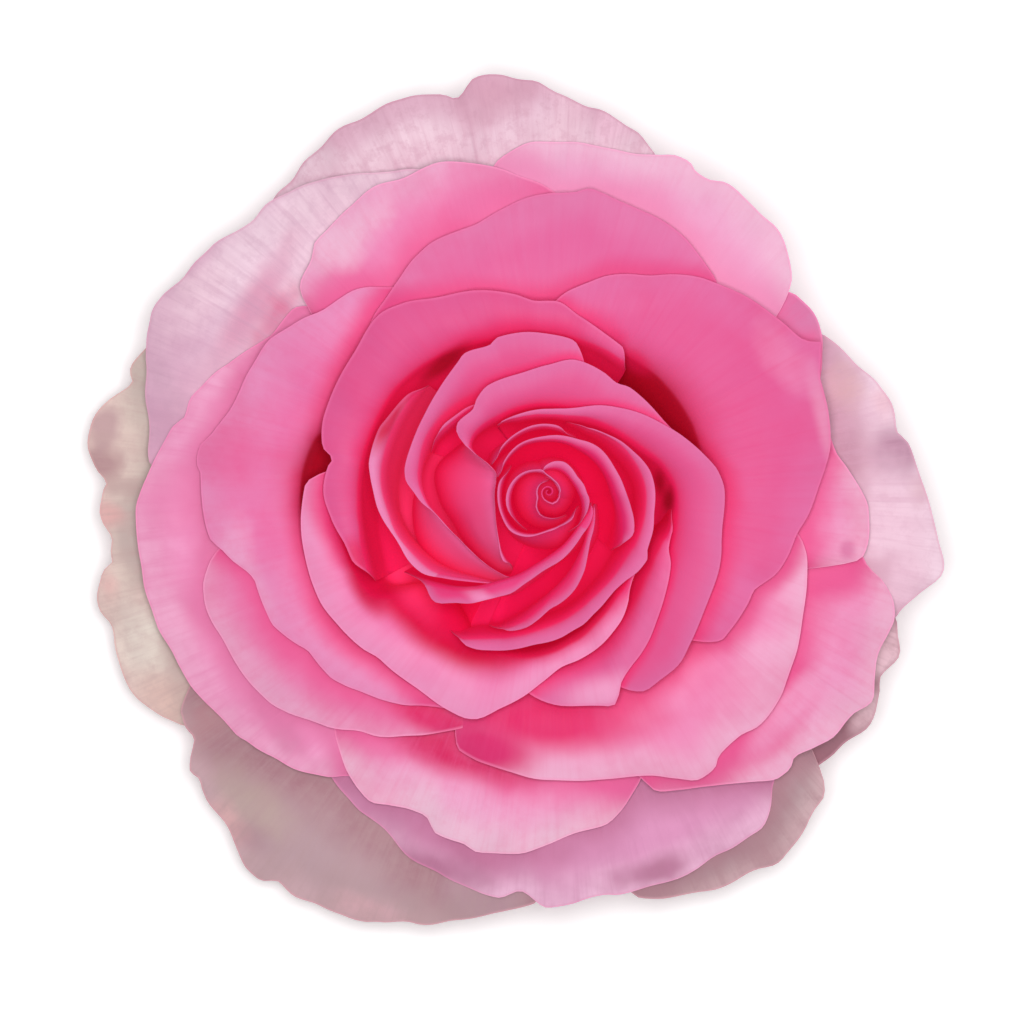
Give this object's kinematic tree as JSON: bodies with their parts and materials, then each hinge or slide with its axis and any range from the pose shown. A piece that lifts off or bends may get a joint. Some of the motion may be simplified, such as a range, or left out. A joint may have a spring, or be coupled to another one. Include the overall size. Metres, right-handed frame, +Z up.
{
  "type": "rose",
  "caption": "Full-blown double rose head, cut under the hip: a spiral of petals from a rolled heart to reflexed guard petals, over five sepals.",
  "frame": {"origin": "on the surface that the head rests on, on the bud's axis, at the centre of the stalk's flat cut", "axes": "+Z up along the bud's axis; +X to the right and +Y to the top of the picture, which looks straight down"},
  "size_m": [0.1109, 0.1105, 0.0506],
  "materials": {
    "bud_petal": "velvety crimson petal with a pale pink lip",
    "inner_petal": "deep pink petal, crimson towards the claw, paler at the lip",
    "middle_petal": "mid pink petal with soft veins and a pale rim",
    "outer_petal": "light pink petal with fine veins, mauve at the tips",
    "guard_petal": "pale cream and mauve petal, veined, rosy at the nicked rim",
    "sepal": "matt green leaf with fine hairs and a pale inner face",
    "hip": "smooth waxy green hip with the pale cut of the stalk"
  },
  "bodies": {
    "root": {"receptacle": "hip", "sepal_1": "sepal", "sepal_2": "sepal", "sepal_3": "sepal", "sepal_4": "sepal", "sepal_5": "sepal", "bud_heart": "bud_petal", "bud_petal_1": "bud_petal", "bud_petal_2": "bud_petal", "bud_petal_3": "bud_petal", "bud_petal_4": "bud_petal", "bud_petal_5": "bud_petal", "bud_petal_6": "bud_petal", "bud_petal_7": "bud_petal", "bud_petal_8": "bud_petal", "inner_petal_1": "inner_petal", "inner_petal_2": "inner_petal", "inner_petal_3": "inner_petal", "inner_petal_4": "inner_petal", "inner_petal_5": "inner_petal", "inner_petal_6": "inner_petal", "middle_petal_1": "middle_petal", "middle_petal_2": "middle_petal", "middle_petal_3": "middle_petal", "middle_petal_4": "middle_petal", "middle_petal_5": "middle_petal", "middle_petal_6": "middle_petal", "middle_petal_7": "middle_petal", "outer_petal_1": "outer_petal", "outer_petal_2": "outer_petal", "outer_petal_3": "outer_petal", "outer_petal_4": "outer_petal", "outer_petal_5": "outer_petal", "outer_petal_6": "outer_petal", "outer_petal_7": "outer_petal", "outer_petal_8": "outer_petal", "guard_petal_1": "guard_petal", "guard_petal_2": "guard_petal", "guard_petal_3": "guard_petal", "guard_petal_4": "guard_petal", "guard_petal_5": "guard_petal", "guard_petal_6": "guard_petal", "guard_petal_7": "guard_petal"}
  },
  "joints": []
}
